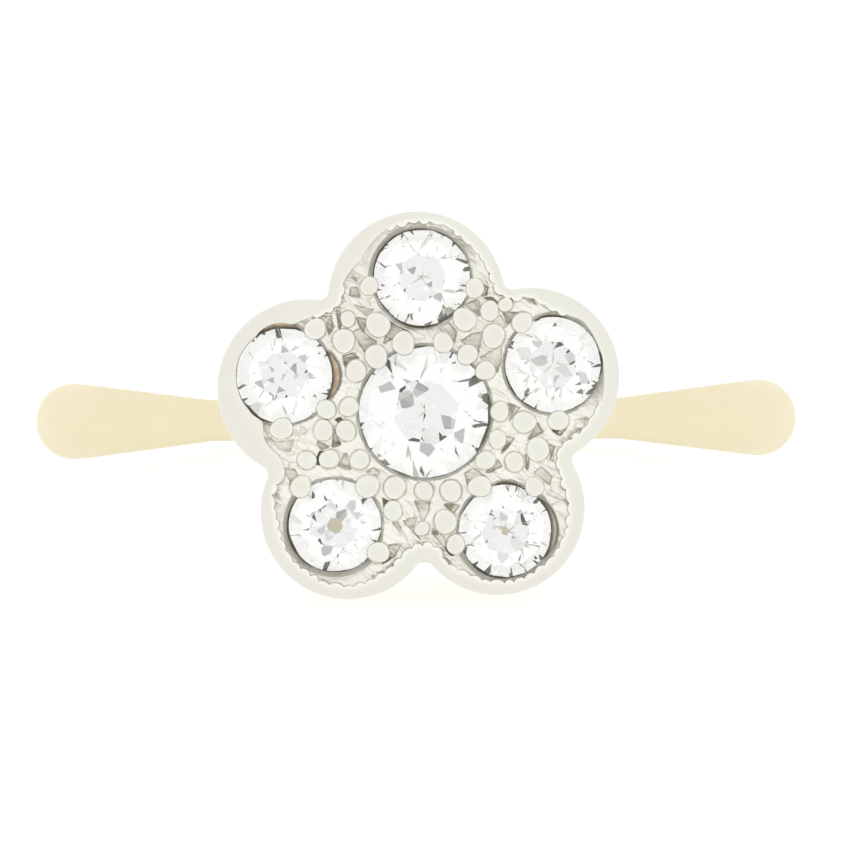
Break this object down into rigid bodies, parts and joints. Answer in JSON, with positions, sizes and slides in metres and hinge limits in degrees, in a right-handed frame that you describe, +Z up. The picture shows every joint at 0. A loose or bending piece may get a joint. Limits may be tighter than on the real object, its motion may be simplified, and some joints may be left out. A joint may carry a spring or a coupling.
{
  "type": "cluster ring",
  "caption": "Daisy cluster ring: scalloped white metal flower head with round old-cut diamonds, grain set, on a tapered yellow gold shank.",
  "frame": {"origin": "centre of the finger hole", "axes": "the ring lies on its side as it rests on a table: +Z up, the flower head towards -Y and leaning back by about 11 degrees, +X to the right of the flower"},
  "size_m": [0.02, 0.0234, 0.01],
  "materials": {
    "yellow_gold": "polished 18 ct yellow gold, pale, lightly worn",
    "white_metal": "polished platinum, softly worn",
    "diamond": "facetted diamond"
  },
  "bodies": {
    "root": {"shank": "yellow_gold", "head": "white_metal", "centre_stone": "diamond", "petal_stone_top": "diamond", "petal_stone_left": "diamond", "petal_stone_lower_left": "diamond", "petal_stone_lower_right": "diamond", "petal_stone_right": "diamond"}
  },
  "joints": []
}
